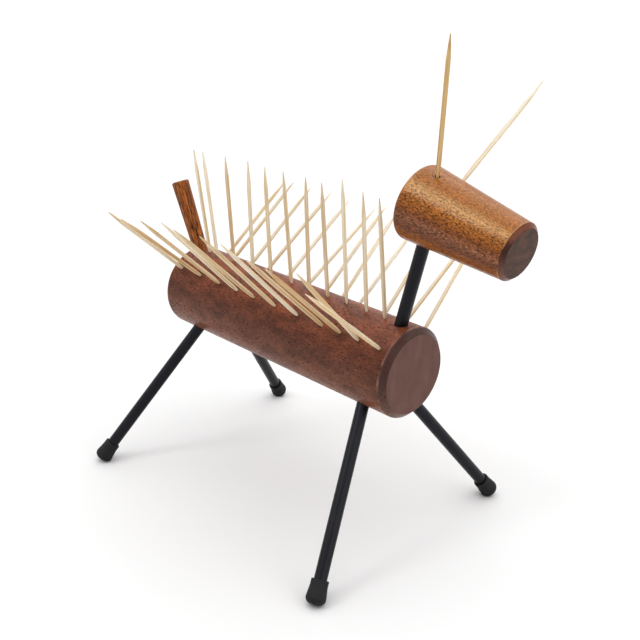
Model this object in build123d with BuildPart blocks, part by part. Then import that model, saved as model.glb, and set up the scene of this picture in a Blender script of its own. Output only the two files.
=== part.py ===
# Animal-shaped holder for cocktail picks: a turned wooden body on four splayed steel legs with
# rubber feet, a rod neck, a turned wooden head, a peg tail, and picks standing in drilled holes.
# Millimetres and degrees. +X is the way the animal faces, +Y is its left side, +Z is up. The origin
# is on the floor, under the middle of the whole animal.
import os
from math import acos, atan, cos, hypot, radians, sin, tan

from build123d import *

# Body: a turned cylinder with both ends chamfered
body_diameter = 46.0
body_length = 167.0
body_chamfer = 3.0
body_height = 94.5  # the body's axis above the floor

# Rod: one stock for the legs and the neck
rod_diameter = 6.35
rod_end_chamfer = 0.4

# Legs: each points at the body's axis, and the rear left one is set closer in than the others
leg_setback = 25.5  # from the body's nearer end
leg_splay_fore = {"front_left": 18.1, "front_right": 18.1, "rear_left": 13.5, "rear_right": 18.1}
leg_splay_side = {"front_left": 36.6, "front_right": 36.6, "rear_left": 34.9, "rear_right": 36.6}
leg_socket_depth = 12.0

# Feet: flared rubber ferrules pushed over the ends of the legs
foot_length = 11.5
foot_wall = 1.0
foot_flare = 1.0
foot_floor = 3.5
foot_lip_height = 3.0
foot_lip_round = 0.4
foot_edge_round = 3.0
foot_squash = 0.5  # how far the rubber is pressed flat where it stands

# Neck and head
neck_setback = 9.8  # from the body's front end
neck_lean = 13.8
neck_shown = 43.8
neck_socket_depth = 12.0
head_length = 56.3
head_rear_diameter = 36.0
head_front_diameter = 26.3
head_rear_round = 2.5
head_front_chamfer = 1.8
head_lean = 10.9  # how far the nose points down
head_on_neck = 9.1  # from the head's rear face to where the neck's axis crosses the head's
head_socket_depth = 14.0

# Tail: a round peg at the rear end of the back, straight in its socket and widening to its free end
tail_diameter = 8.1
tail_end_diameter = 9.9
tail_shown = 39.6
tail_lean = 25.0
tail_socket_depth = 9.0
tail_edge = 0.4  # from the body's rear end to the back of the peg
tail_end_chamfer = 0.4

# Picks: round toothpicks pointed at both ends, and the holes that they stand in
pick_diameter = 2.1
pick_length = 65.0
pick_taper = 10.5
pick_point_diameter = 0.5
hole_depth = 7.0
hole_spare = 0.2  # below the point of a pick that is pushed home

# Clearances on the radius
glue_gap = 0.1
pick_gap = 0.12

# Rows of holes along the back
row_angle = 46.0  # of the two side rows, from the top of the body
side_row_rear = 9.0  # from the body's rear end to the first hole
side_row_front = 8.5  # from the last hole to the body's front end
centre_row_wall = 1.5  # from the tail's socket to the first hole
centre_row_to_neck = 4.2  # from the last hole to the neck's socket

# The drilling and the picks are uneven by hand. For each pick, from the rear: how far its hole has
# drifted forward, in shares of a step; how far the pick leans forward; how far it leans to the right.
right_drift = [0, 0.1, 0.2, 0.2, 0.1, 0.2, 0.3, 0.5, 0.3, 0.1, 0]
right_lean_fore = [-5, -9, -12, -12, -15, -11, -12, -9, -7, -1, -4]
right_lean_side = [1, 2, -1, -4, -3, -4, -4, -1, 0, -3, 4]
centre_drift = [0, -0.5, -0.4, -0.2, -0.1, 0.1, 0.1, 0.1, 0.1, 0.1, 0]
centre_lean_fore = [-12, -12, -6, -7, -6, -9, -6, -6, -8, -8, -7]
centre_lean_side = [0, -1, 0, -3, -1, -2, -2, 0, -3, -3, 0]
left_drift = [0, -0.5, -0.4, -0.4, -0.2, 0, 0, -0.1, -0.2, 0.1, 0.1, 0]
left_lean_fore = [2, 4, 3, 9, 3, 7, 2, -2, 3, -3, 5, -4]
left_lean_side = [-4, -2, -3, 0, -5, -5, -2, -3, -3, -3, -3, -3]

# Ears: two picks in the head. Where each hole is along the head and how far it is turned to the right,
# and how far its pick leans forward and to the right of square.
ear_station = {"right": 10.3, "left": 12.5}  # from the head's rear face
ear_angle = {"right": 15.4, "left": -43.5}
ear_lean_fore = {"right": -6.3, "left": 2.3}
ear_lean_side = {"right": -11.2, "left": 0}

# Picks that aren't pushed right home, and how far each stands up
standing_up = {"pick_centre_09": 3.5, "ear_right": 1.5}

# Radii, and the radius of a pick where it enters its hole
body_radius = body_diameter / 2
rod_radius = rod_diameter / 2
head_rear_radius = head_rear_diameter / 2
head_front_radius = head_front_diameter / 2
head_slope = (head_rear_radius - head_front_radius) / head_length
tail_radius = tail_diameter / 2
tail_end_radius = tail_end_diameter / 2
tail_slope = (tail_end_radius - tail_radius) / tail_shown
pick_radius = pick_diameter / 2
point_radius = pick_point_diameter / 2
entry_radius = point_radius + (pick_radius - point_radius) * min(hole_depth / pick_taper, 1)
foot_bore_radius = rod_radius + glue_gap
foot_top_radius = foot_bore_radius + foot_wall
foot_bottom_radius = foot_top_radius + foot_flare


def leaning(fore, side):
    """The unit vector that leans from upright, forward by fore and to the right by side."""
    f, s = radians(fore), radians(side)
    return Vector(sin(f), -sin(s) * cos(f), cos(s) * cos(f))


def facing(origin, out):
    """The plane at origin whose z points out along a piece."""
    return Plane(origin, x_dir=Vector(0, 1, 0).cross(out), z_dir=out)


def lengthwise(plane):
    """The plane through a piece's axis: its x is the radius, and its y runs along the piece."""
    return Plane(plane.origin, x_dir=plane.x_dir, z_dir=-plane.y_dir)


# Along the body, from its middle
half_length = body_length / 2
leg_station = half_length - leg_setback
neck_station = half_length - neck_setback
tail_station = -half_length + tail_edge + tail_radius / cos(radians(tail_lean))

# How far the nose and the tail reach from the middle of the body
neck_axis = leaning(neck_lean, 0)
head_up = leaning(head_lean, 0)
head_axis = Vector(0, 1, 0).cross(head_up)
tail_axis = leaning(-tail_lean, 0)
head_off_square = radians(neck_lean - head_lean)
neck_to_head_axis = (head_rear_radius - head_slope * head_on_neck) / (
    cos(head_off_square) - head_slope * sin(head_off_square)
)
head_above_body = neck_shown + neck_to_head_axis
nose = neck_axis * head_above_body + head_axis * (head_length - head_on_neck)
nose_reach = neck_station + nose.X + (head_front_radius - head_front_chamfer) * head_up.X
tail_shoulder = tail_shown - tail_end_chamfer / hypot(1, tail_slope)
tail_shoulder_radius = tail_radius + tail_slope * tail_shoulder
tail_reach = tail_station + tail_axis.X * tail_shoulder - tail_axis.Z * tail_shoulder_radius

# The middle and the top of the body, with the middle of the whole animal over the origin
middle = Vector(-(nose_reach + tail_reach) / 2, 0, body_height)
top = middle + Vector(0, 0, body_radius)

# Where the neck, the tail and the head leave the wood that holds them
neck_root = facing(top + Vector(neck_station, 0, 0), neck_axis)
tail_root = facing(top + Vector(tail_station, 0, 0), tail_axis)
head_socket = facing(neck_root.origin + neck_axis * neck_shown, -neck_axis)
head_rear = facing(neck_root.origin + neck_axis * head_above_body - head_axis * head_on_neck, head_axis)

# The centre row runs between the floors of the tail's and the neck's sockets
centre_start = tail_station - tail_axis.X * tail_socket_depth + tail_axis.Z * tail_radius + centre_row_wall
centre_end = neck_station - neck_axis.X * neck_socket_depth - neck_axis.Z * rod_radius - centre_row_to_neck
side_start = side_row_rear - half_length
side_end = half_length - side_row_front
rows = {
    "right": (row_angle, side_start, side_end, right_drift, right_lean_fore, right_lean_side),
    "centre": (0, centre_start, centre_end, centre_drift, centre_lean_fore, centre_lean_side),
    "left": (-row_angle, side_start, side_end, left_drift, left_lean_fore, left_lean_side),
}

# The mouth of each hole in the back, facing out along its pick
back_mouths = {}
for row, (angle, start, end, drift, fore, side) in rows.items():
    step = (end - start) / (len(drift) - 1)
    for i in range(len(drift)):
        station = Vector(start + step * (i + drift[i]), 0, 0)
        mouth = middle + station + leaning(0, angle) * body_radius
        back_mouths[f"pick_{row}_{i + 1:02d}"] = facing(mouth, leaning(fore[i], angle + side[i]))

# The mouths of the two holes in the head
ear_mouths = {}
for ear, station in ear_station.items():
    square = leaning(0, ear_angle[ear])
    out = leaning(ear_lean_fore[ear], ear_angle[ear] + ear_lean_side[ear])
    square = head_up * square.Z + Vector(0, square.Y, 0)
    out = head_up * out.Z + Vector(0, out.Y, 0) + head_axis * out.X
    mouth = head_rear.origin + head_axis * station + square * (head_rear_radius - head_slope * station)
    ear_mouths[f"ear_{ear}"] = facing(mouth, out)

# The centre of a foot's round lower edge, from the foot's axis
flare_lean = atan(foot_flare / (foot_length - foot_lip_height))
edge_centre_radius = foot_bottom_radius - foot_edge_round / tan((radians(90) - flare_lean) / 2)

# The end of each foot, where its round edge meets the floor, facing up along its leg; the mouth of the
# leg's socket, facing down; and the length of the leg between the foot's floor and the socket's
foot_ends = {}
leg_mouths = {}
leg_lengths = {}
for corner in leg_splay_fore:
    forward = 1 if corner.startswith("front") else -1
    left = 1 if corner.endswith("left") else -1
    run_fore = tan(radians(leg_splay_fore[corner]))
    run_side = tan(radians(leg_splay_side[corner]))
    up = Vector(-forward * run_fore, -left * run_side, 1).normalized()
    root = middle + Vector(forward * leg_station, 0, 0)
    edge_centre_height = edge_centre_radius * sin(acos(up.Z)) + foot_edge_round - foot_squash
    foot_reach = foot_edge_round + (body_height - edge_centre_height) / up.Z
    mouth_reach = body_radius / hypot(up.Y, up.Z)
    foot_ends[corner] = facing(root - up * foot_reach, up)
    leg_mouths[corner] = facing(root - up * mouth_reach, -up)
    leg_lengths[corner] = foot_reach - foot_floor - mouth_reach + leg_socket_depth

os.makedirs("parts", exist_ok=True)

# Body: turned and chamfered, then drilled for the picks, the legs, the neck and the tail
with BuildPart() as body:
    with BuildSketch(Plane(middle - Vector(half_length, 0, 0), x_dir=(0, 1, 0), z_dir=(1, 0, 0))):
        Circle(body_radius)
    extrude(amount=body_length)
    chamfer(body.edges().filter_by(GeomType.CIRCLE), body_chamfer)
    with Locations(*back_mouths.values()):
        Hole(entry_radius + pick_gap, depth=hole_depth + hole_spare)
    with Locations(*leg_mouths.values()):
        Hole(rod_radius + glue_gap, depth=leg_socket_depth)
    with Locations(neck_root):
        Hole(rod_radius + glue_gap, depth=neck_socket_depth)
    with Locations(tail_root):
        Hole(tail_radius + glue_gap, depth=tail_socket_depth)
body.part.label = "body"
export_step(body.part, "parts/body.step")

# Head: a turned taper with a round rear edge and a chamfered nose, drilled for the neck and the ears
with BuildPart() as head:
    with BuildSketch(lengthwise(head_rear)) as head_profile:
        with BuildLine():
            Polyline(
                (0, 0),
                (head_rear_radius, 0),
                (head_front_radius, head_length),
                (0, head_length),
                close=True,
            )
        make_face()
        fillet(head_profile.vertices().sort_by(Axis.X)[-1], head_rear_round)
        chamfer(head_profile.vertices().group_by(Axis.Y)[-1].sort_by(Axis.X)[-1], head_front_chamfer)
    revolve(axis=Axis(head_rear.origin, head_rear.z_dir))
    with Locations(head_socket):
        Hole(rod_radius + glue_gap, depth=head_socket_depth)
    with Locations(*ear_mouths.values()):
        Hole(entry_radius + pick_gap, depth=hole_depth + hole_spare)
head.part.label = "head"
export_step(head.part, "parts/head.step")

# Neck: a rod from the floor of the body's socket to the floor of the head's
with BuildPart() as neck:
    with BuildSketch(neck_root.offset(-neck_socket_depth)):
        Circle(rod_radius)
    extrude(amount=neck_socket_depth + neck_shown + head_socket_depth)
    chamfer(neck.edges().filter_by(GeomType.CIRCLE), rod_end_chamfer)
neck.part.label = "neck"
export_step(neck.part, "parts/neck.step")

# Tail: a turned peg standing on the floor of its socket
with BuildPart() as tail:
    with BuildSketch(lengthwise(tail_root.offset(-tail_socket_depth))) as tail_profile:
        with BuildLine():
            Polyline(
                (0, 0),
                (tail_radius, 0),
                (tail_radius, tail_socket_depth),
                (tail_end_radius, tail_socket_depth + tail_shown),
                (0, tail_socket_depth + tail_shown),
                close=True,
            )
        make_face()
        chamfer(tail_profile.vertices().group_by(Axis.Y)[0].sort_by(Axis.X)[-1], tail_end_chamfer)
        chamfer(tail_profile.vertices().group_by(Axis.Y)[-1].sort_by(Axis.X)[-1], tail_end_chamfer)
    revolve(axis=Axis(tail_root.origin, tail_root.z_dir))
tail.part.label = "tail"
export_step(tail.part, "parts/tail.step")

# Legs: rods from the floor of each foot to the floor of each socket
for corner, foot_end in foot_ends.items():
    with BuildPart() as leg:
        with BuildSketch(foot_end.offset(foot_floor)):
            Circle(rod_radius)
        extrude(amount=leg_lengths[corner])
        chamfer(leg.edges().filter_by(GeomType.CIRCLE), rod_end_chamfer)
    leg.part.label = f"leg_{corner}"
    export_step(leg.part, f"parts/leg_{corner}.step")

# Feet: flared cups with a straight lip and a round lower edge, pressed flat where they stand
for corner, foot_end in foot_ends.items():
    with BuildPart() as foot:
        with BuildSketch(lengthwise(foot_end)) as foot_profile:
            with BuildLine():
                Polyline(
                    (0, 0),
                    (foot_bottom_radius, 0),
                    (foot_top_radius, foot_length - foot_lip_height),
                    (foot_top_radius, foot_length),
                    (foot_bore_radius, foot_length),
                    (foot_bore_radius, foot_floor),
                    (0, foot_floor),
                    close=True,
                )
            make_face()
            fillet(foot_profile.vertices().sort_by(Axis.X)[-1], foot_edge_round)
            lip_round = min(foot_lip_round, foot_wall / 2)
            fillet(foot_profile.vertices().group_by(Axis.Y)[-1].sort_by(Axis.X)[-1], lip_round)
        revolve(axis=Axis(foot_end.origin, foot_end.z_dir))
        split(bisect_by=Plane.XY, keep=Keep.TOP)
    foot.part.label = f"foot_{corner}"
    export_step(foot.part, f"parts/foot_{corner}.step")

# Picks and ears: pointed at both ends, each standing in its own hole
for name, mouth in {**back_mouths, **ear_mouths}.items():
    point = mouth.offset(standing_up.get(name, 0) - hole_depth)
    with BuildPart() as pick:
        with BuildSketch(lengthwise(point)):
            with BuildLine():
                Polyline(
                    (0, 0),
                    (point_radius, 0),
                    (pick_radius, pick_taper),
                    (pick_radius, pick_length - pick_taper),
                    (point_radius, pick_length),
                    (0, pick_length),
                    close=True,
                )
            make_face()
        revolve(axis=Axis(point.origin, point.z_dir))
    pick.part.label = name
    export_step(pick.part, f"parts/{name}.step")
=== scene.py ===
# An animal-shaped holder for cocktail picks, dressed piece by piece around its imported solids.
# Metres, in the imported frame: +X is the way the animal faces, +Y is its left side, +Z is up.
from collections import namedtuple
from math import cos, radians, sin

import bmesh
import bpy
import numpy as np
from mathutils import Matrix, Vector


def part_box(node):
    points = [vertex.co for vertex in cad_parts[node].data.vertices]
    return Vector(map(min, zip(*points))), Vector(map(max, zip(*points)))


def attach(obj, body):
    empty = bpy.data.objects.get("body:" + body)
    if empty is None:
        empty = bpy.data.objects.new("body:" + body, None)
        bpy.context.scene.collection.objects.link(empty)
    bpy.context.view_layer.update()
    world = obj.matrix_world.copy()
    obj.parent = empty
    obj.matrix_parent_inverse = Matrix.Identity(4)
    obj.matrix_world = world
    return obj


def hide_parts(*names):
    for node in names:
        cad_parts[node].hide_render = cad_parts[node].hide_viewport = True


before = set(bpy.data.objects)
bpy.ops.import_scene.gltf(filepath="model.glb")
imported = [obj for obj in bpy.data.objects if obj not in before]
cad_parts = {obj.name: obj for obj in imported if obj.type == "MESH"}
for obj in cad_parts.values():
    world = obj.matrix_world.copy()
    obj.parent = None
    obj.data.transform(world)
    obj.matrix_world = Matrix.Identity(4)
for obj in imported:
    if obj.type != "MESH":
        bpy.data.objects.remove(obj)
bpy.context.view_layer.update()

# Body: a billet of mahogany turned to a cylinder and chamfered at both ends. It is drilled from above
# for the picks, the neck and the tail and from below for the legs, then stained and rubbed with oil.
mm = 0.001
body_chamfer = 3.0 * mm
body_edge_round = 0.4 * mm
# Over this same width a painted highlight runs along the edge, together with the rubbed stain.
body_rub_and_glint_width = 0.7 * mm  # how far from an edge the stain is rubbed off
body_step = 6.0 * mm  # the longest face along the body
body_sides = 256
forward = np.array([1.0, 0.0, 0.0])


def unit(vector):
    """The vector divided by its own length."""
    return vector / np.linalg.norm(vector)


def across(along):
    """Three unit vectors as rows: along a piece, level across it, and square to both."""
    sideways = unit(np.cross((0, 0, 1), along))
    return np.stack([along, sideways, np.cross(along, sideways)])


def rounded(corners, steps=4):
    """A profile through corners of (station, radius, round). A corner that has a round becomes an arc of
    that size, which touches both its sides."""
    corners = np.array(corners, float)
    parts = [corners[:1, :2]]
    for before, corner, after in zip(corners[:, :2], corners[1:], corners[2:, :2]):
        point, size = corner[:2], corner[2]
        back, on = unit(before - point), unit(after - point)
        half_inside = np.arccos(back @ on) / 2
        centre = point + unit(back + on) * size / np.sin(half_inside)
        first = point + back * size / np.tan(half_inside) - centre
        last = point + on * size / np.tan(half_inside) - centre
        turn = np.pi - 2 * half_inside
        share = np.linspace(0, 1, steps + 1)[:, None] if size else np.zeros((1, 1))
        arc = np.sin((1 - share) * turn) * first + np.sin(share * turn) * last
        parts.append(centre + arc / np.sin(turn))
    return np.concatenate([*parts, corners[-1:, :2]])


def spread(profile, step, margin):
    """The same profile with its long straight runs cut into equal lengths no longer than step, between two
    cuts at this margin from both ends of the run."""
    parts = []
    for start, end in zip(profile, profile[1:]):
        run = np.linalg.norm(end - start)
        shares = [0.0]
        if run > 2 * margin:
            cuts = int(np.ceil((run - 2 * margin) / step))
            shares += np.linspace(margin / run, 1 - margin / run, cuts + 1).tolist()
        parts.append(start + np.outer(shares, end - start))
    return np.concatenate([*parts, profile[-1:]])


def turned(profile, middle, along, sides):
    """A turned form: each radius of the profile is carried round the axis in equal steps. The profile
    starts and ends on the axis, with one point there, so both ends are closed. Gives points and faces."""
    angle = np.arange(sides) * 2 * np.pi / sides
    station, radius = profile[1:-1, 0, None], profile[1:-1, 1, None]
    rings = np.stack([station + 0 * angle, radius * np.cos(angle), radius * np.sin(angle)], -1)
    ends = np.array([[profile[0, 0], 0, 0], [profile[-1, 0], 0, 0]])
    points = middle + np.concatenate([rings.reshape(-1, 3), ends]) @ across(along)
    here = np.arange(len(station) * sides).reshape(-1, sides)
    beside = np.roll(here, -1, axis=1)
    first_end, last_end = len(points) - 2 + 0 * here[0], len(points) - 1 + 0 * here[0]
    quads = np.stack([here[:-1], beside[:-1], beside[1:], here[1:]], -1).reshape(-1, 4)
    fans = np.concatenate([
        np.stack([first_end, beside[0], here[0]], -1),
        np.stack([last_end, here[-1], beside[-1]], -1),
    ])
    return points, quads.tolist() + fans.tolist()


def piece(name, points, faces):
    """A new object at the origin that holds these points and faces."""
    mesh = bpy.data.meshes.new(name)
    mesh.from_pydata(np.asarray(points).tolist(), [], faces)
    made = bpy.data.objects.new(name, mesh)
    bpy.context.scene.collection.objects.link(made)
    return made


def points_of(made):
    """The points of a piece, one row each."""
    flat = np.empty(len(made.data.vertices) * 3, np.float32)
    made.data.vertices.foreach_get("co", flat)
    return flat.reshape(-1, 3).astype(float)


def smooth(made, sharpest=35):
    """Shades a piece as smooth, but for edges that turn by more than this many degrees. Large faces weigh
    most in the shading, so that flats stay flat beside small rounds."""
    made.data.shade_smooth()
    made.data.set_sharp_from_angle(angle=radians(sharpest))
    weighing = made.modifiers.new("large faces weigh most", "WEIGHTED_NORMAL")
    weighing.keep_sharp = True


def note(made, name, kind, values):
    """Writes one value for each point of a piece, for its material to read."""
    attribute = made.data.attributes.new(name, kind, "POINT")
    field = "vector" if kind == "FLOAT_VECTOR" else "value"
    attribute.data.foreach_set(field, np.ascontiguousarray(values, np.float32).ravel())


def note_grain(made, middle, along, shift):
    """Notes each point's place in the timber, in millimetres: along the grain, then twice across it. The
    shift takes each piece from another place in the tree."""
    note(made, "grain", "FLOAT_VECTOR", (points_of(made) - middle) @ across(along).T / mm + shift)


def note_rub_and_glint(made, middle, along, edges, width):
    """Notes how rubbed each point is, which also places a painted highlight along the edge: one on the turned
    edges, given as corners of the profile, falling to nothing at this width from them."""
    local = (points_of(made) - middle) @ across(along).T
    flat = np.stack([local[:, 0], np.hypot(local[:, 1], local[:, 2])], -1)
    away = np.linalg.norm(flat[:, None] - np.array(edges)[None, :, :2], axis=-1).min(1)
    note(made, "rub_and_glint", "FLOAT", np.clip(1 - away / width, 0, 1))


def colour(code):
    """Linear red, green, blue and alpha from an sRGB hex code, by undoing the sRGB curve."""
    share = np.array([int(code[i:i + 2], 16) for i in (1, 3, 5)]) / 255
    linear = np.where(share <= 0.04045, share / 12.92, ((share + 0.055) / 1.055) ** 2.4)
    return (*linear.tolist(), 1.0)


def fill(tree, node, links):
    """Fills a node's inputs, named or numbered, from values, sockets or other nodes' first outputs."""
    usable = [socket for socket in node.inputs if socket.enabled]
    for key, value in links.items():
        socket = usable[key] if isinstance(key, int) else next(s for s in usable if s.name == key)
        if isinstance(value, bpy.types.Node):
            value = next(s for s in value.outputs if s.enabled)
        if isinstance(value, bpy.types.NodeSocket):
            tree.links.new(value, socket)
        else:
            socket.default_value = value


def put(tree, kind, links=None, **settings):
    """Adds a node, sets its properties and fills its inputs. Returns the node."""
    node = tree.nodes.new(kind)
    for name, value in settings.items():
        setattr(node, name, value)
    fill(tree, node, links or {})
    return node


def blank(name):
    """A new material with its node tree and its main shader."""
    material = bpy.data.materials.new(name)
    material.use_nodes = True
    return material, material.node_tree, material.node_tree.nodes["Principled BSDF"]


def drawn_out(tree, size, detail, span, values=(0.0, 1.0)):
    """Noise on the grain, with blotches of this size in millimetres along it and twice across it. The span
    of the noise, from low to high, becomes the span of values."""
    grain = put(tree, "ShaderNodeAttribute", attribute_name="grain").outputs["Vector"]
    scaled = put(tree, "ShaderNodeVectorMath", {0: grain, 1: size}, operation="DIVIDE")
    noise = put(tree, "ShaderNodeTexNoise", {"Vector": scaled, "Scale": 1.0, "Detail": detail})
    (low, high), (first, last) = span, values
    spans = {"Value": noise, "From Min": low, "From Max": high, "To Min": first, "To Max": last}
    return put(tree, "ShaderNodeMapRange", spans)


band_span = (0.32, 0.68)  # the part of the noise, from 0 to 1, over which a pattern goes from none to full
fibre_span = (0.3, 0.7)
rub_and_glint_span = (0.4, 0.62)
rub_and_glint_patch = (6, 6, 6)  # millimetres
layer_wander = 2.0  # how far the slow bands bend a layer, in millimetres
pore_dulling = 0.25  # how much rougher the pores are


def timber(
    name, band, fibre, fibre_depth, pore, pore_shade, pore_span, roughness, gloss, relief=0.05 * mm,
    shades=None, layers=None, mottle=None, thinned=None, rubbed_and_glint_shade=None,
):
    """Timber as a solid pattern: slow bands run from the first shade to the second, fibres lighten and
    darken them by fibre_depth, and pores are short dark dashes that deepen as the noise rises through
    pore_span. Both are drawn coarser than in real wood so that they show. Fibres stand up and pores sink in
    a relief of this depth, and pores are duller. Edges noted as rubbed show the pale edge shade in patches:
    partly stain rubbed off, and partly a painted highlight along the edge.

    Layers are level bands in the wood, which take the place of the two shades: pairs of a height in
    millimetres and a shade, from the lowest. The shades were set until the colours round the piece came
    near the photographed ones, so they hold some of that light and shade too. Mottle is how far the
    slow bands lighten and darken the layers. Thinned gives the heights between which the pores of layered
    timber thin out upwards, and the share of them that is left above."""
    material, tree, shader = blank(name)
    bands = drawn_out(tree, band, detail=4, span=band_span)
    fibre_values = (1 - fibre_depth, 1 + fibre_depth)
    fibres = drawn_out(tree, fibre, detail=2, span=fibre_span, values=fibre_values)
    pores = drawn_out(tree, pore, detail=1, span=pore_span)
    if layers:
        grain = put(tree, "ShaderNodeAttribute", attribute_name="grain").outputs["Vector"]
        height = put(tree, "ShaderNodeSeparateXYZ", {0: grain}).outputs["Z"]
        bent = put(tree, "ShaderNodeMath", {0: bands, 1: layer_wander, 2: height}, operation="MULTIPLY_ADD")
        (lowest, first_shade), (highest, last_shade) = layers[0], layers[-1]
        share = put(tree, "ShaderNodeMapRange", {"Value": bent, "From Min": lowest, "From Max": highest})
        ground = put(tree, "ShaderNodeValToRGB", {"Fac": share})
        stops = ground.color_ramp.elements
        stops[0].color = colour(first_shade)
        stops[1].color = colour(last_shade)
        for layer_height, shade in layers[1:-1]:
            stops.new((layer_height - lowest) / (highest - lowest)).color = colour(shade)
    else:
        two_shades = {"Factor": bands, "A": colour(shades[0]), "B": colour(shades[1])}
        ground = put(tree, "ShaderNodeMix", two_shades, data_type="RGBA")
    strength = fibres
    if mottle:
        patches = drawn_out(tree, band, detail=4, span=band_span, values=(1 - mottle, 1 + mottle))
        strength = put(tree, "ShaderNodeMath", {0: fibres, 1: patches}, operation="MULTIPLY")
    combed = put(tree, "ShaderNodeHueSaturation", {"Value": strength, "Color": ground})
    if thinned:
        start, end, left = thinned
        spans = {"Value": height, "From Min": start, "From Max": end, "To Min": 1.0, "To Max": left}
        thinning = put(tree, "ShaderNodeMapRange", spans)
        pores = put(tree, "ShaderNodeMath", {0: pores, 1: thinning}, operation="MULTIPLY")
    with_pores = {"Factor": pores, "A": combed, "B": colour(pore_shade)}
    surface = put(tree, "ShaderNodeMix", with_pores, data_type="RGBA")
    # Rubbed edges: a pale shade, partly stain worn off and partly a painted highlight along the edge.
    if rubbed_and_glint_shade:
        rub_and_glint = put(tree, "ShaderNodeAttribute", attribute_name="rub_and_glint").outputs["Fac"]
        patchy = drawn_out(tree, rub_and_glint_patch, detail=3, span=rub_and_glint_span)
        rubbed_and_glinting = put(tree, "ShaderNodeMath", {0: rub_and_glint, 1: patchy}, operation="MULTIPLY")
        with_rub_and_glint = {"Factor": rubbed_and_glinting, "A": surface, "B": colour(rubbed_and_glint_shade)}
        surface = put(tree, "ShaderNodeMix", with_rub_and_glint, data_type="RGBA")
    dulled = {"Value": pores, "To Min": roughness, "To Max": min(roughness + pore_dulling, 1.0)}
    uneven = put(tree, "ShaderNodeMapRange", dulled)
    raised = put(tree, "ShaderNodeMath", {0: fibres, 1: pores}, operation="SUBTRACT")
    bump = put(tree, "ShaderNodeBump", {"Height": raised, "Distance": relief, "Strength": 0.5})
    fill(tree, shader, {
        "Base Color": surface, "Roughness": uneven, "Normal": bump, "Specular IOR Level": gloss,
    })
    return material


# Mahogany, stained and oiled: red-brown and brown patches about a centimetre long, with fine fibres and
# short dark pores. Real pores are about 0.2 mm wide, and these are 0.5 mm. Its layers are painted light and
# shade: painted shade darkens it a little above its middle, and painted light brightens the top and the lower
# side.
mahogany = timber(
    "mahogany_turned_stained_and_oiled", band=(12, 5, 5), fibre=(2.2, 0.7, 0.7), fibre_depth=0.25,
    pore=(2.0, 0.5, 0.5), pore_shade="#3a1e12", pore_span=(0.53, 0.7), roughness=0.34, gloss=0.14,
    relief=0.11 * mm, layers=((-8, "#7d4b36"), (7, "#653929"), (24, "#82452b")), mottle=0.38, rubbed_and_glint_shade="#a8796a",
)
# Mahogany end grain: drinks more stain, so it is browner and more even, with pores cut across to dots.
mahogany_end = timber(
    "mahogany_end_grain_sanded_and_stained", band=(40, 6, 18), fibre=(9, 0.9, 0.9), fibre_depth=0.05,
    pore=(5, 0.6, 0.6), pore_shade="#5c4038", pore_span=(0.6, 0.85), roughness=0.45, gloss=0.15,
    shades=("#613e36", "#6f4c44"),
)
# Mahogany cut slantwise on the chamfers, with open grain: painted shade makes its upper half the darkest, and
# painted light brightens it towards the bottom.
mahogany_slant = timber(
    "mahogany_chamfer_sanded_and_stained", band=(30, 11, 11), fibre=(9, 1.2, 1.2), fibre_depth=0.12,
    pore=(4, 0.7, 0.7), pore_shade="#28150f", pore_span=(0.56, 0.75), roughness=0.36, gloss=0.22,
    layers=((-23, "#73503f"), (5, "#42241c"), (23, "#472820")), rubbed_and_glint_shade="#8a6256",
)
# The walls of the drilled holes: torn, dry wood, with painted shade that makes them darker than the outside.
mahogany_bored = timber(
    "mahogany_hole_walls_painted_shade", band=(20, 3, 3), fibre=(4, 0.6, 0.6), fibre_depth=0.2,
    pore=(3, 0.5, 0.5), pore_shade="#23120c", pore_span=(0.5, 0.7), roughness=0.8, gloss=0.2,
    shades=("#3a2117", "#55331f"),
)

body_low, body_high = (np.array(corner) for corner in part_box("body"))
body_middle = (body_low + body_high) / 2
body_half = (body_high - body_low)[0] / 2
body_radius = (body_high - body_low)[2] / 2
body_corners = [
    (-body_half, 0, 0),
    (-body_half, body_radius - body_chamfer, body_edge_round),
    (body_chamfer - body_half, body_radius, body_edge_round),
    (body_half - body_chamfer, body_radius, body_edge_round),
    (body_half, body_radius - body_chamfer, body_edge_round),
    (body_half, 0, 0),
]
body_profile = spread(rounded(body_corners), body_step, body_rub_and_glint_width)
body = piece("body_turned", *turned(body_profile, body_middle, forward, body_sides))
for material in (mahogany, mahogany_end, mahogany_slant, mahogany_bored):
    body.data.materials.append(material)

side_wood, end_wood, slant_wood, bored_wood = range(4)  # the order of a turned piece's materials
slant_facing = 0.4  # a face that faces along the axis by more than this share is a chamfer
end_facing = 0.9  # and by more than this, an end


def turn_kinds(made, along, rear_chamfer):
    """Gives a turned piece's faces their materials by how far they face along its axis: side, chamfer or
    end. A rear edge without a chamfer belongs to the side."""
    normals = np.empty(len(made.data.polygons) * 3, np.float32)
    made.data.polygons.foreach_get("normal", normals)
    facing = normals.reshape(-1, 3) @ along
    slanted = (facing > slant_facing) | (rear_chamfer & (facing < -slant_facing))
    kinds = np.where(np.abs(facing) > end_facing, end_wood, np.where(slanted, slant_wood, side_wood))
    made.data.polygons.foreach_set("material_index", kinds.astype(np.int32))


turn_kinds(body, forward, rear_chamfer=True)

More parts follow.
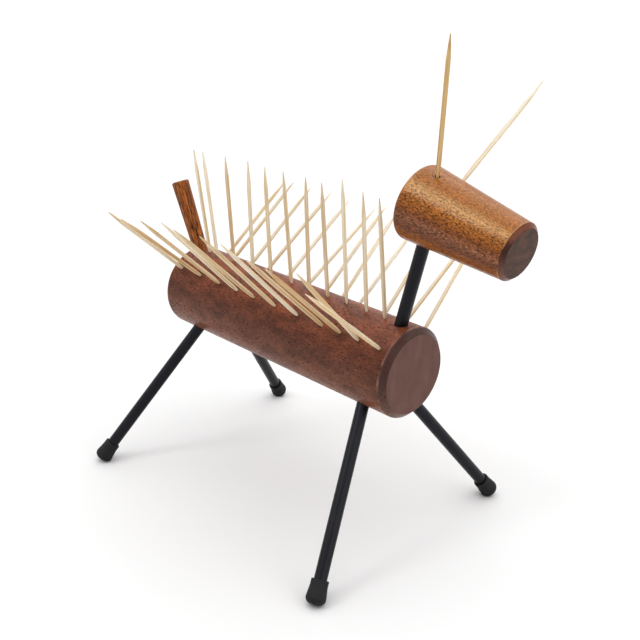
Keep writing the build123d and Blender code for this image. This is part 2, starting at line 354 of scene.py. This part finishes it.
# The body's holes: a narrow one with a torn mouth for each pick, and wider sockets for the rods and tail.
hole_radius = 0.9 * mm
hole_depth = 7.0 * mm
hole_spare = 0.2 * mm  # below the point of a pick that is pushed home
hole_mouth_radius = 1.2 * mm  # where the drill tore the edge of the wood
hole_mouth_depth = 0.5 * mm
hole_sides = 20
standing_up = {"pick_centre_09": 3.5 * mm, "ear_right": 1.5 * mm}  # how much higher than pushed home
glue_gap = 0.1 * mm  # between a rod or the tail and the wall of its socket
rod_radius = 3.175 * mm
rod_socket_radius = rod_radius + glue_gap
leg_socket_depth = 12.0 * mm
neck_socket_depth = 12.0 * mm
tail_radius = 4.05 * mm
tail_socket_radius = tail_radius + glue_gap
tail_socket_depth = 9.0 * mm
drill_clear = 5.0 * mm  # how far a cut reaches out of the wood
drill_merge = 0.002 * mm  # points that a cut leaves closer than this become one
corners_of_animal = ("front_left", "front_right", "rear_left", "rear_right")
pick_names = sorted(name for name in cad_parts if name.startswith("pick_"))
Axis = namedtuple("Axis", "middle along half")


def axis_of(node):
    """The axis of a straight round piece: its middle, the unit vector up along it, which is the way its
    points spread most, and half its length."""
    points = np.unique(points_of(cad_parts[node]).round(7), axis=0)
    mean = points.mean(0)
    along = np.linalg.svd(points - mean, full_matrices=False)[2][0]
    along = along * np.sign(along[2])
    reach = (points - mean) @ along
    low, high = reach.min(), reach.max()
    return Axis(mean + along * (high + low) / 2, along, (high - low) / 2)


def bore(axis, start, end, radius, sides=40):
    """A round cut along an axis from start to end, both measured from the axis's middle."""
    profile = np.array([[start, 0], [start, radius], [end, radius], [end, 0]])
    return turned(profile, axis.middle, axis.along, sides)


def pick_hole(name):
    """The hole that a pick stands in, a little deeper than the pick's point, with a flared mouth."""
    middle, along, half = axis_of(name)
    bottom = -half - hole_spare - standing_up.get(name, 0)
    mouth = hole_depth - half - standing_up.get(name, 0)
    profile = np.array([
        [bottom, 0],
        [bottom, hole_radius],
        [mouth - hole_mouth_depth, hole_radius],
        [mouth, hole_mouth_radius],
        [mouth + drill_clear, hole_mouth_radius],
        [mouth + drill_clear, 0],
    ])
    return turned(profile, middle, along, hole_sides)


def joined(shapes):
    """Several shapes as one list of points and one of faces."""
    starts = np.cumsum([0] + [len(points) for points, _ in shapes])
    points = np.concatenate([points for points, _ in shapes])
    faces = [[i + start for i in face] for start, (_, some) in zip(starts, shapes) for face in some]
    return points, faces


def cut(wooden, shapes):
    """Drills the shapes out of a wooden piece. The walls of the holes get the bored wood. Points that the
    drilling leaves almost in one place are merged."""
    drills = piece(wooden.name + "_drills", *joined(shapes))
    for material in wooden.data.materials:
        drills.data.materials.append(material)
    walls = np.full(len(drills.data.polygons), bored_wood, np.int32)
    drills.data.polygons.foreach_set("material_index", walls)
    drilling = wooden.modifiers.new("drilling", "BOOLEAN")
    drilling.operation = "DIFFERENCE"
    drilling.solver = "EXACT"
    drilling.object = drills
    drilled = wooden.evaluated_get(bpy.context.evaluated_depsgraph_get())
    mesh = bpy.data.meshes.new_from_object(drilled)
    merging = bmesh.new()
    merging.from_mesh(mesh)
    bmesh.ops.remove_doubles(merging, verts=merging.verts, dist=drill_merge)
    merging.to_mesh(mesh)
    merging.free()
    wooden.modifiers.clear()
    wooden.data = mesh
    bpy.data.objects.remove(drills)


body_holes = [pick_hole(name) for name in pick_names]
for corner in corners_of_animal:
    leg_axis = axis_of(f"leg_{corner}")
    leg_top = leg_axis.half
    body_holes.append(bore(leg_axis, leg_top - leg_socket_depth - drill_clear, leg_top, rod_socket_radius))
for node, depth, radius in (
    ("neck", neck_socket_depth, rod_socket_radius),
    ("tail", tail_socket_depth, tail_socket_radius),
):
    node_axis = axis_of(node)
    low_end = -node_axis.half
    body_holes.append(bore(node_axis, low_end, low_end + depth + drill_clear, radius))
cut(body, body_holes)
chamfers_outer_edges = body_corners[2:4]
note_grain(body, body_middle, forward, np.zeros(3))
note_rub_and_glint(body, body_middle, forward, chamfers_outer_edges, body_rub_and_glint_width)
smooth(body)
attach(body, "holder")
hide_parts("body")

# Legs: four straight lengths of quarter-inch steel rod with their ends broken by a small chamfer. They are
# sprayed satin black and glued into the body from below.
rod_end_chamfer = 0.4 * mm
rod_end_round = 0.2 * mm
rod_step = 8.0 * mm
rod_margin = 2.0 * mm
rod_sides = 64


def black_steel(name):
    """Steel sprayed satin black: nearly black, with a soft sheen that the fine orange peel of the spray
    breaks up, and faint dusty rub marks that are paler and duller."""
    material, tree, shader = blank(name)
    peel_size, rub_size = 0.9 * mm, 9.0 * mm
    place = put(tree, "ShaderNodeTexCoord").outputs["Object"]
    peel = put(tree, "ShaderNodeTexNoise", {"Vector": place, "Scale": 1 / peel_size, "Detail": 2.0})
    rubs = put(tree, "ShaderNodeTexNoise", {"Vector": place, "Scale": 1 / rub_size, "Detail": 4.0})
    rubbed = put(tree, "ShaderNodeMapRange", {"Value": rubs, "From Min": 0.5, "From Max": 0.75})
    shades = {"Factor": rubbed, "A": colour("#050508"), "B": colour("#101014")}
    paint = put(tree, "ShaderNodeMix", shades, data_type="RGBA")
    sheen = {"Value": rubs, "From Min": 0.3, "From Max": 0.7, "To Min": 0.28, "To Max": 0.42}
    dull = put(tree, "ShaderNodeMapRange", sheen)
    bump = put(tree, "ShaderNodeBump", {"Height": peel, "Distance": 0.02 * mm, "Strength": 0.4})
    # The sheen is tinted faintly blue, a painted tint of cool light in its reflections.
    fill(tree, shader, {
        "Base Color": paint, "Roughness": dull, "Normal": bump,
        "Specular IOR Level": 0.22, "Specular Tint": colour("#eeeeff"),
    })
    return material


black_paint = black_steel("steel_sprayed_satin_black")


def rod(name, node):
    """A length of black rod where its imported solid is: a turned form with a small chamfer at both ends."""
    middle, along, half = axis_of(node)
    corners = [
        (-half, 0, 0),
        (-half, rod_radius - rod_end_chamfer, rod_end_round),
        (rod_end_chamfer - half, rod_radius, rod_end_round),
        (half - rod_end_chamfer, rod_radius, rod_end_round),
        (half, rod_radius - rod_end_chamfer, rod_end_round),
        (half, 0, 0),
    ]
    profile = spread(rounded(corners), rod_step, rod_margin)
    made = piece(name, *turned(profile, middle, along, rod_sides))
    made.data.materials.append(black_paint)
    smooth(made)
    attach(made, "holder")
    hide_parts(node)


for corner in corners_of_animal:
    rod(f"leg_{corner}_rod", f"leg_{corner}")

# Feet: black rubber ferrules, moulded with a straight lip and a flared skirt, pushed over the ends of the
# legs. Where each stands its round lower edge is pressed flat.
foot_length = 11.5 * mm
foot_floor = 3.5 * mm
foot_wall = 1.0 * mm
foot_flare = 1.0 * mm
foot_lip_height = 3.0 * mm
foot_lip_round = 0.4 * mm
foot_bore_round = 0.1 * mm
foot_waist_round = 1.5 * mm
foot_edge_round = 3.0 * mm
foot_bore = rod_radius + glue_gap
foot_top = foot_bore + foot_wall
foot_step = 1.0 * mm
foot_margin = 0.5 * mm
foot_sides = 72


def moulded_rubber(name):
    """Black rubber from a blasted mould: dull, very dark, with a fine tooth and a little pale dust. The tooth
    is drawn coarser than a mould gives so that it shows."""
    material, tree, shader = blank(name)
    tooth_size, dust_size = 0.5 * mm, 4.0 * mm
    place = put(tree, "ShaderNodeTexCoord").outputs["Object"]
    tooth = put(tree, "ShaderNodeTexNoise", {"Vector": place, "Scale": 1 / tooth_size, "Detail": 3.0})
    dust = put(tree, "ShaderNodeTexNoise", {"Vector": place, "Scale": 1 / dust_size, "Detail": 5.0})
    dusty = put(tree, "ShaderNodeMapRange", {"Value": dust, "From Min": 0.48, "From Max": 0.72})
    shades = {"Factor": dusty, "A": colour("#0c0c0e"), "B": colour("#1b1b1d")}
    skin = put(tree, "ShaderNodeMix", shades, data_type="RGBA")
    sheen = {"Value": tooth, "From Min": 0.3, "From Max": 0.7, "To Min": 0.55, "To Max": 0.75}
    dull = put(tree, "ShaderNodeMapRange", sheen)
    bump = put(tree, "ShaderNodeBump", {"Height": tooth, "Distance": 0.04 * mm, "Strength": 0.5})
    fill(tree, shader, {
        "Base Color": skin, "Roughness": dull, "Normal": bump, "Specular IOR Level": 0.25,
    })
    return material


rubber = moulded_rubber("rubber_moulded_black")
foot_corners = [
    (0, 0, 0),
    (0, foot_top + foot_flare, foot_edge_round),
    (foot_length - foot_lip_height, foot_top, foot_waist_round),
    (foot_length, foot_top, foot_lip_round),
    (foot_length, foot_bore, foot_bore_round),
    (foot_floor, foot_bore, 0),
    (foot_floor, 0, 0),
]
foot_profile = spread(rounded(foot_corners, steps=8), foot_step, foot_margin)
for corner in corners_of_animal:
    middle, along, half = axis_of(f"leg_{corner}")
    points, faces = turned(foot_profile, middle - along * (half + foot_floor), along, foot_sides)
    points[:, 2] = np.maximum(points[:, 2], 0)
    foot = piece(f"foot_{corner}_ferrule", points, faces)
    foot.data.materials.append(rubber)
    smooth(foot)
    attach(foot, "holder")
    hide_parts(f"foot_{corner}")

# Tail: a round peg of streaky rosewood, turned to widen towards its free end, sawn square, oiled and glued
# into the rear end of the back.
tail_end_radius = 4.95 * mm
tail_end_chamfer = 0.4 * mm
tail_end_round = 0.2 * mm
tail_rub_and_glint_width = 0.5 * mm
tail_step = 4.0 * mm
tail_sides = 96
tail_tree_place = (210, 14, 37)
# Rosewood, oiled: orange-brown bands along it, with open near-black pores drawn out to short streaks.
rosewood = timber(
    "rosewood_turned_and_oiled", band=(24, 2.0, 2.0), fibre=(9, 0.6, 0.6), fibre_depth=0.38,
    pore=(5, 0.38, 0.38), pore_shade="#2e1306", pore_span=(0.49, 0.62), roughness=0.4, gloss=0.2,
    shades=("#7c3d10", "#ba6c30"), rubbed_and_glint_shade="#b98a5c",
)
# Rosewood end grain, sawn and left rough: dark brown.
rosewood_end = timber(
    "rosewood_end_grain_sawn_and_oiled", band=(20, 4, 4), fibre=(5, 0.6, 0.6), fibre_depth=0.15,
    pore=(4, 0.6, 0.6), pore_shade="#2a160c", pore_span=(0.55, 0.75), roughness=0.55, gloss=0.3,
    shades=("#46281a", "#5c3a26"), rubbed_and_glint_shade="#b98a5c",
)
tail_middle, tail_along, tail_half = axis_of("tail")
tail_corners = [
    (-tail_half, 0, 0),
    (-tail_half, tail_radius - tail_end_chamfer, tail_end_round),
    (tail_end_chamfer - tail_half, tail_radius, tail_end_round),
    (tail_socket_depth - tail_half, tail_radius, 0),
    (tail_half - tail_end_chamfer, tail_end_radius, tail_end_round),
    (tail_half, tail_end_radius - tail_end_chamfer, tail_end_round),
    (tail_half, 0, 0),
]
tail_profile = spread(rounded(tail_corners), tail_step, tail_rub_and_glint_width)
tail = piece("tail_peg", *turned(tail_profile, tail_middle, tail_along, tail_sides))
for material in (rosewood, rosewood_end, rosewood_end):
    tail.data.materials.append(material)
tail_free_edges = tail_corners[4:6]
turn_kinds(tail, tail_along, rear_chamfer=True)
note_grain(tail, tail_middle, tail_along, tail_tree_place)
note_rub_and_glint(tail, tail_middle, tail_along, tail_free_edges, tail_rub_and_glint_width)
smooth(tail)
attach(tail, "holder")
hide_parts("tail")

# Neck: one more length of the legs' black rod. It is glued into the front of the back, and the head is
# pushed onto its upper end.
rod("neck_rod", "neck")

# Head: a tapered block of golden teak turned with a round rear edge and a chamfered nose, drilled below
# for the neck and above for two picks, and oiled to a soft gloss.
head_length = 56.3 * mm
head_rear_radius = 18.0 * mm
head_nose_radius = 13.15 * mm
head_rear_round = 2.5 * mm
head_nose_chamfer = 1.8 * mm
head_nose_round = 0.4 * mm
head_rub_and_glint_width = 0.4 * mm
head_step = 4.0 * mm
head_sides = 192
head_lean = radians(10.9)  # how far the nose points down
head_socket_depth = 14.0 * mm
head_tree_place = (430, 0, 0)
ear_names = ("ear_left", "ear_right")
# Teak, oiled: golden and orange-brown bands along it, thick with short dark flecks. Its layers also hold
# painted light: a pale painted highlight stripe high on its side, a pinkish painted reflection of the floor a
# little below its middle, and painted shade on its lower side.
teak = timber(
    "teak_turned_and_oiled", band=(50, 7, 7), fibre=(1.2, 0.6, 0.6), fibre_depth=0.5,
    pore=(1.1, 0.55, 0.55), pore_shade="#4e280b", pore_span=(0.48, 0.64), roughness=0.22, gloss=0.18,
    relief=0.01 * mm, rubbed_and_glint_shade="#d0985a",
    layers=(
        (-8, "#99592b"), (-5, "#743f24"), (-1, "#9c6345"), (3.5, "#8e4e20"), (9.5, "#bb722f"),
        (12.5, "#d6a064"), (16.5, "#a8672a"),
    ),
    mottle=0.12, thinned=(8.0, 11.5, 0.45),
)
# Teak end grain on the rear and the nose: browner and greyer, because it drinks the oil.
teak_end = timber(
    "teak_end_grain_sanded_and_oiled", band=(30, 8, 4), fibre=(8, 0.9, 0.9), fibre_depth=0.12,
    pore=(4, 0.6, 0.6), pore_shade="#33211a", pore_span=(0.56, 0.8), roughness=0.42, gloss=0.12,
    shades=("#38241b", "#5c3a29"),
)
# Teak cut slantwise on the nose's chamfer: red-brown, with painted shade darkest a little above its middle
# and painted light at its top and bottom.
teak_slant = timber(
    "teak_chamfer_sanded_and_oiled", band=(20, 9, 9), fibre=(6, 1.0, 1.0), fibre_depth=0.15,
    pore=(3, 0.6, 0.6), pore_shade="#2a1308", pore_span=(0.56, 0.75), roughness=0.3, gloss=0.2,
    layers=((-6, "#6c4433"), (4, "#36150a"), (9, "#401c0f"), (13, "#763f27")), rubbed_and_glint_shade="#7a4c2c",
)
# The walls of the holes in the head: torn, dry wood, with painted shade that makes them darker than the
# outside.
teak_bored = timber(
    "teak_hole_walls_painted_shade", band=(20, 3, 3), fibre=(4, 0.6, 0.6), fibre_depth=0.2,
    pore=(3, 0.5, 0.5), pore_shade="#2a170a", pore_span=(0.5, 0.7), roughness=0.8, gloss=0.2,
    shades=("#4a2c14", "#6b4523"),
)
head_along = np.array([cos(head_lean), 0.0, -sin(head_lean)])
head_slope = (head_nose_radius - head_rear_radius) / head_length
nose_shoulder = head_length - head_nose_chamfer
nose_shoulder_radius = head_rear_radius + head_slope * nose_shoulder
head_corners = [
    (0, 0, 0),
    (0, head_rear_radius, head_rear_round),
    (nose_shoulder, nose_shoulder_radius, head_nose_round),
    (head_length, head_nose_radius - head_nose_chamfer, head_nose_round),
    (head_length, 0, 0),
]
head_profile = spread(rounded(head_corners, steps=8), head_step, head_rub_and_glint_width)
head_points, head_faces = turned(head_profile, np.zeros(3), head_along, head_sides)
head_low, head_high = (np.array(corner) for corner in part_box("head"))
head_rear = (head_low + head_high - head_points.min(0) - head_points.max(0)) / 2
head = piece("head_turned", head_points + head_rear, head_faces)
for material in (teak, teak_end, teak_slant, teak_bored):
    head.data.materials.append(material)
turn_kinds(head, head_along, rear_chamfer=False)
neck_axis = axis_of("neck")
neck_top = neck_axis.half
head_holes = [pick_hole(name) for name in ear_names]
head_holes.append(bore(neck_axis, neck_top - head_socket_depth - drill_clear, neck_top, rod_socket_radius))
cut(head, head_holes)
# The grain narrows with the taper, so that its bands run along the head's side.
head_local = (points_of(head) - head_rear) @ across(head_along).T
head_local[:, 1:] /= 1 + head_slope * head_local[:, :1] / head_rear_radius
note(head, "grain", "FLOAT_VECTOR", head_local / mm + head_tree_place)
nose_shoulder_edge = head_corners[2:3]
note_rub_and_glint(head, head_rear, head_along, nose_shoulder_edge, head_rub_and_glint_width)
smooth(head)
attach(head, "holder")
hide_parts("head")

# Picks: round birch toothpicks, pointed at both ends by grinding and left bare. One stands in each hole in
# the back, and two more in the head are the ears.
pick_radius = 1.05 * mm
pick_taper = 10.5 * mm
pick_point_radius = 0.25 * mm
pick_point_round = 0.1 * mm
pick_shoulder_round = 30.0 * mm
pick_step = 6.0 * mm
pick_margin = 3.0 * mm
pick_sides = 24
pick_tree_step = np.array([97, 13, 29])  # from one pick's place in the tree to the next one's


def birch(name):
    """Birch, ground and left bare: pale straw with fine honey lines along it, each pick a little lighter or
    darker than the next. The lines are drawn coarser than birch's own fibres so that they show."""
    material, tree, shader = blank(name)
    line_size, patch_size = (50, 0.7, 0.7), (14, 2.5, 2.5)
    tone = put(tree, "ShaderNodeAttribute", attribute_name="tone").outputs["Fac"]
    lines = drawn_out(tree, line_size, detail=3, span=(0.4, 0.6))
    patches = drawn_out(tree, patch_size, detail=2, span=(0.3, 0.7), values=(0.92, 1.06))
    pale_shades = {"Factor": tone, "A": colour("#e3c28b"), "B": colour("#fffaec")}
    deep_shades = {"Factor": tone, "A": colour("#be8e4e"), "B": colour("#f4d9a8")}
    pale = put(tree, "ShaderNodeMix", pale_shades, data_type="RGBA")
    deep = put(tree, "ShaderNodeMix", deep_shades, data_type="RGBA")
    lined = put(tree, "ShaderNodeMix", {"Factor": lines, "A": deep, "B": pale}, data_type="RGBA")
    patched = put(tree, "ShaderNodeHueSaturation", {"Value": patches, "Color": lined})
    bump = put(tree, "ShaderNodeBump", {"Height": lines, "Distance": 0.03 * mm, "Strength": 0.5})
    fill(tree, shader, {
        "Base Color": patched, "Normal": bump, "Roughness": 0.5, "Specular IOR Level": 0.3,
    })
    return material


bare_birch = birch("birch_ground_and_left_bare")
tones = np.random.default_rng(7)
straw_tones = (0.55, 0.98)
honey_tones = (0.18, 0.48)
honey_picks = (
    "pick_centre_03", "pick_centre_06", "pick_centre_08", "pick_right_02", "pick_right_03", "pick_right_05",
    "pick_right_06", "pick_right_08", "pick_right_09",
)
ear_tones = {"ear_left": 1.0, "ear_right": 0.0}
for number, name in enumerate([*pick_names, *ear_names]):
    middle, along, half = axis_of(name)
    pick_corners = [
        (-half, 0, 0),
        (-half, pick_point_radius, pick_point_round),
        (pick_taper - half, pick_radius, pick_shoulder_round),
        (half - pick_taper, pick_radius, pick_shoulder_round),
        (half, pick_point_radius, pick_point_round),
        (half, 0, 0),
    ]
    pick_profile = spread(rounded(pick_corners), pick_step, pick_margin)
    pick = piece(f"{name}_birch", *turned(pick_profile, middle, along, pick_sides))
    pick.data.materials.append(bare_birch)
    drawn_tone = tones.uniform(*(honey_tones if name in honey_picks else straw_tones))
    tone = ear_tones.get(name, drawn_tone)
    note_grain(pick, middle, along, number * pick_tree_step)
    note(pick, "tone", "FLOAT", np.full(len(pick.data.vertices), tone))
    smooth(pick)
    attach(pick, name)
    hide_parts(name)

# Stage: a sheet of white paper that runs out of sight on all sides. The animal stands on it, and it takes
# the soft shadow.
floor_half = 30.0
floor_corners = floor_half * np.array([(-1, -1, 0), (1, -1, 0), (1, 1, 0), (-1, 1, 0)])
floor = piece("floor", floor_corners, [[0, 1, 2, 3]])
paper, paper_tree, paper_shader = blank("white_paper_sweep")
fill(paper_tree, paper_shader, {"Base Color": colour("#f8f8f8"), "Roughness": 0.9, "Specular IOR Level": 0.0})
floor.data.materials.append(paper)

# Light: a large soft box almost overhead, a small window on the left of the view, a weak reflector in front
# of the animal, and a dim room. Camera, glossy and transmission rays see that room as white.
room_strength = 0.14
world = bpy.data.worlds.new("studio")
world.use_nodes = True
bpy.context.scene.world = world
sky = world.node_tree
ray = put(sky, "ShaderNodeLightPath").outputs
seen = put(sky, "ShaderNodeMath", {0: ray["Is Camera Ray"], 1: ray["Is Glossy Ray"]}, operation="MAXIMUM")
shown = put(sky, "ShaderNodeMath", {0: seen, 1: ray["Is Transmission Ray"]}, operation="MAXIMUM")
glow = put(sky, "ShaderNodeMapRange", {"Value": shown, "To Min": room_strength, "To Max": 1.0})
fill(sky, sky.nodes["Background"], {"Color": colour("#ffffff"), "Strength": glow})


def lamp(name, azimuth, elevation, width, energy):
    """A far soft lamp in that direction, round, and so many degrees across. Azimuth 0 is on the animal's
    right, and 90 is in front of it."""
    light = bpy.data.lights.new(name, "SUN")
    light.energy = energy
    light.angle = radians(width)
    lit = bpy.data.objects.new(name, light)
    lit.rotation_euler = (radians(90 - elevation), 0, radians(azimuth))
    bpy.context.scene.collection.objects.link(lit)


lamp("overhead_softbox", azimuth=-155, elevation=80, width=96, energy=2.75)
lamp("side_window", azimuth=-25, elevation=43, width=18, energy=0.45)
lamp("front_reflector", azimuth=95, elevation=22, width=50, energy=0.55)

# Camera: at the photograph's viewpoint, ahead of the animal, on its right and above it, with the picture's
# small tilt.
camera_place = np.array([312.605, -315.94, 288.46]) * mm
camera_azimuth = radians(44.5724)  # from the animal's right towards its front
camera_elevation = radians(22.6959)
camera_tilt = radians(1.2723)
camera_data = bpy.data.cameras.new("camera")
camera_data.lens = 52.4537
camera_data.sensor_width = 36.0
camera_data.clip_start = 0.01
camera_data.clip_end = 200.0
camera = bpy.data.objects.new("camera", camera_data)
bpy.context.scene.collection.objects.link(camera)
backward = np.array([
    sin(camera_azimuth) * cos(camera_elevation),
    -cos(camera_azimuth) * cos(camera_elevation),
    sin(camera_elevation),
])
sideways = unit(np.cross((0, 0, 1), backward))
upright = np.cross(backward, sideways)
camera_right = cos(camera_tilt) * sideways + sin(camera_tilt) * upright
camera_up = cos(camera_tilt) * upright - sin(camera_tilt) * sideways
camera_matrix = np.eye(4)
camera_matrix[:3] = np.stack([camera_right, camera_up, backward, camera_place], -1)
camera.matrix_world = Matrix(camera_matrix)
bpy.context.scene.camera = camera
bpy.context.scene.view_settings.view_transform = "Standard"

bpy.context.view_layer.update()
